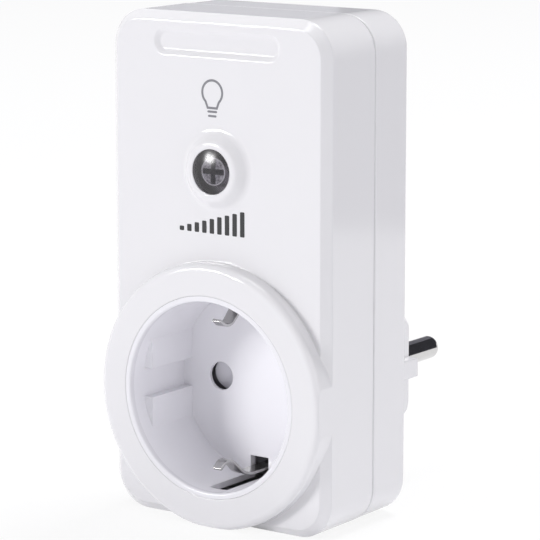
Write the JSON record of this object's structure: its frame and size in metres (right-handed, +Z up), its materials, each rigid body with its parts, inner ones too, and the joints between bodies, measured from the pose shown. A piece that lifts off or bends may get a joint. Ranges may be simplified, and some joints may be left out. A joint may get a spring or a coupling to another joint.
{
  "type": "plug-in dimmer",
  "caption": "Upright plug-in lamp dimmer: rounded two-part housing with a recessed round safety socket, a domed push button and a round-pin wall plug behind.",
  "frame": {"origin": "midway between the two plug pins, on the plug's end face", "axes": "+Y along the plug pins away from the housing, so the socket faces -Y; +Z up, towards the button; +X to the right in front view"},
  "size_m": [0.052, 0.0666, 0.1005],
  "materials": {
    "white_housing": "semi-gloss moulded plastic",
    "white_socket": "semi-gloss moulded plastic",
    "grey_shutter": "satin moulded plastic",
    "carrier_resin": "satin moulded plastic",
    "smoked_plastic": "clear smoke-tinted plastic",
    "pale_guide": "satin moulded plastic",
    "black_resin": "satin moulded resin",
    "light_resin": "clear moulded resin",
    "board_laminate": "lacquered laminate",
    "capacitor_yellow": "satin moulded plastic",
    "capacitor_sleeve": "shrunk plastic sleeve",
    "varistor_coating": "dipped epoxy",
    "resistor_coating": "baked coating",
    "fuse_glass": "clear glass with metal caps",
    "nickel_pin": "nickel-plated brass",
    "nickel_strip": "nickel-plated strip",
    "contact_brass": "stamped sheet",
    "zinc_steel": "zinc-plated steel",
    "spring_steel": "drawn wire",
    "sink_aluminium": "rolled sheet",
    "core_ferrite": "matt sintered core",
    "winding_copper": "enamelled wire"
  },
  "bodies": {
    "housing": {"front_shell": "white_housing", "rear_shell": "white_housing", "case_screws": "zinc_steel", "socket_cup": "white_socket", "shutter_spring": "spring_steel", "contact_carrier": "carrier_resin", "carrier_screws": "zinc_steel", "line_contact": "contact_brass", "neutral_contact": "contact_brass", "earth_bow": "nickel_strip", "line_pin": "nickel_pin", "neutral_pin": "nickel_pin", "line_strip": "contact_brass", "neutral_strip": "contact_brass", "plug_earth_strips": "nickel_strip", "button_guide": "pale_guide", "switch_body": "black_resin", "indicator_light": "light_resin", "circuit_board": "board_laminate", "board_screws": "zinc_steel", "triac": "black_resin", "heat_sink": "sink_aluminium", "triac_screw": "zinc_steel", "triac_nut": "zinc_steel", "choke_core": "core_ferrite", "choke_winding": "winding_copper", "film_capacitor": "capacitor_yellow", "electrolytic_capacitor": "capacitor_sleeve", "varistor": "varistor_coating", "fuse": "fuse_glass", "fuse_clips": "nickel_strip", "control_chip": "black_resin", "resistors": "resistor_coating"},
    "button": {"button_cap": "smoked_plastic"},
    "plunger": {"switch_plunger": "black_resin"},
    "shutter": {"shutter": "grey_shutter"}
  },
  "joints": [
    {"name": "button_press", "type": "slide", "parent": "housing", "child": "button", "axis": [0, 1, 0], "range_m": [0, 0.0005], "stiffness_N_per_m": 300, "springref_m": -0.002},
    {"name": "plunger_press", "type": "slide", "parent": "housing", "child": "plunger", "axis": [0, 1, 0], "range_m": [0, 0.0005]},
    {"name": "shutter_turn", "type": "hinge", "parent": "housing", "child": "shutter", "pos_m": [0, -0.0268, 0], "axis": [0, 1, 0], "range_deg": [0, 40], "stiffness_Nm_per_rad": 0.002, "springref_deg": -22.92, "deforming": ["shutter_spring"]}
  ],
  "couplings": [
    {"joint": "plunger_press", "follows": "button_press", "ratio": 1}
  ]
}
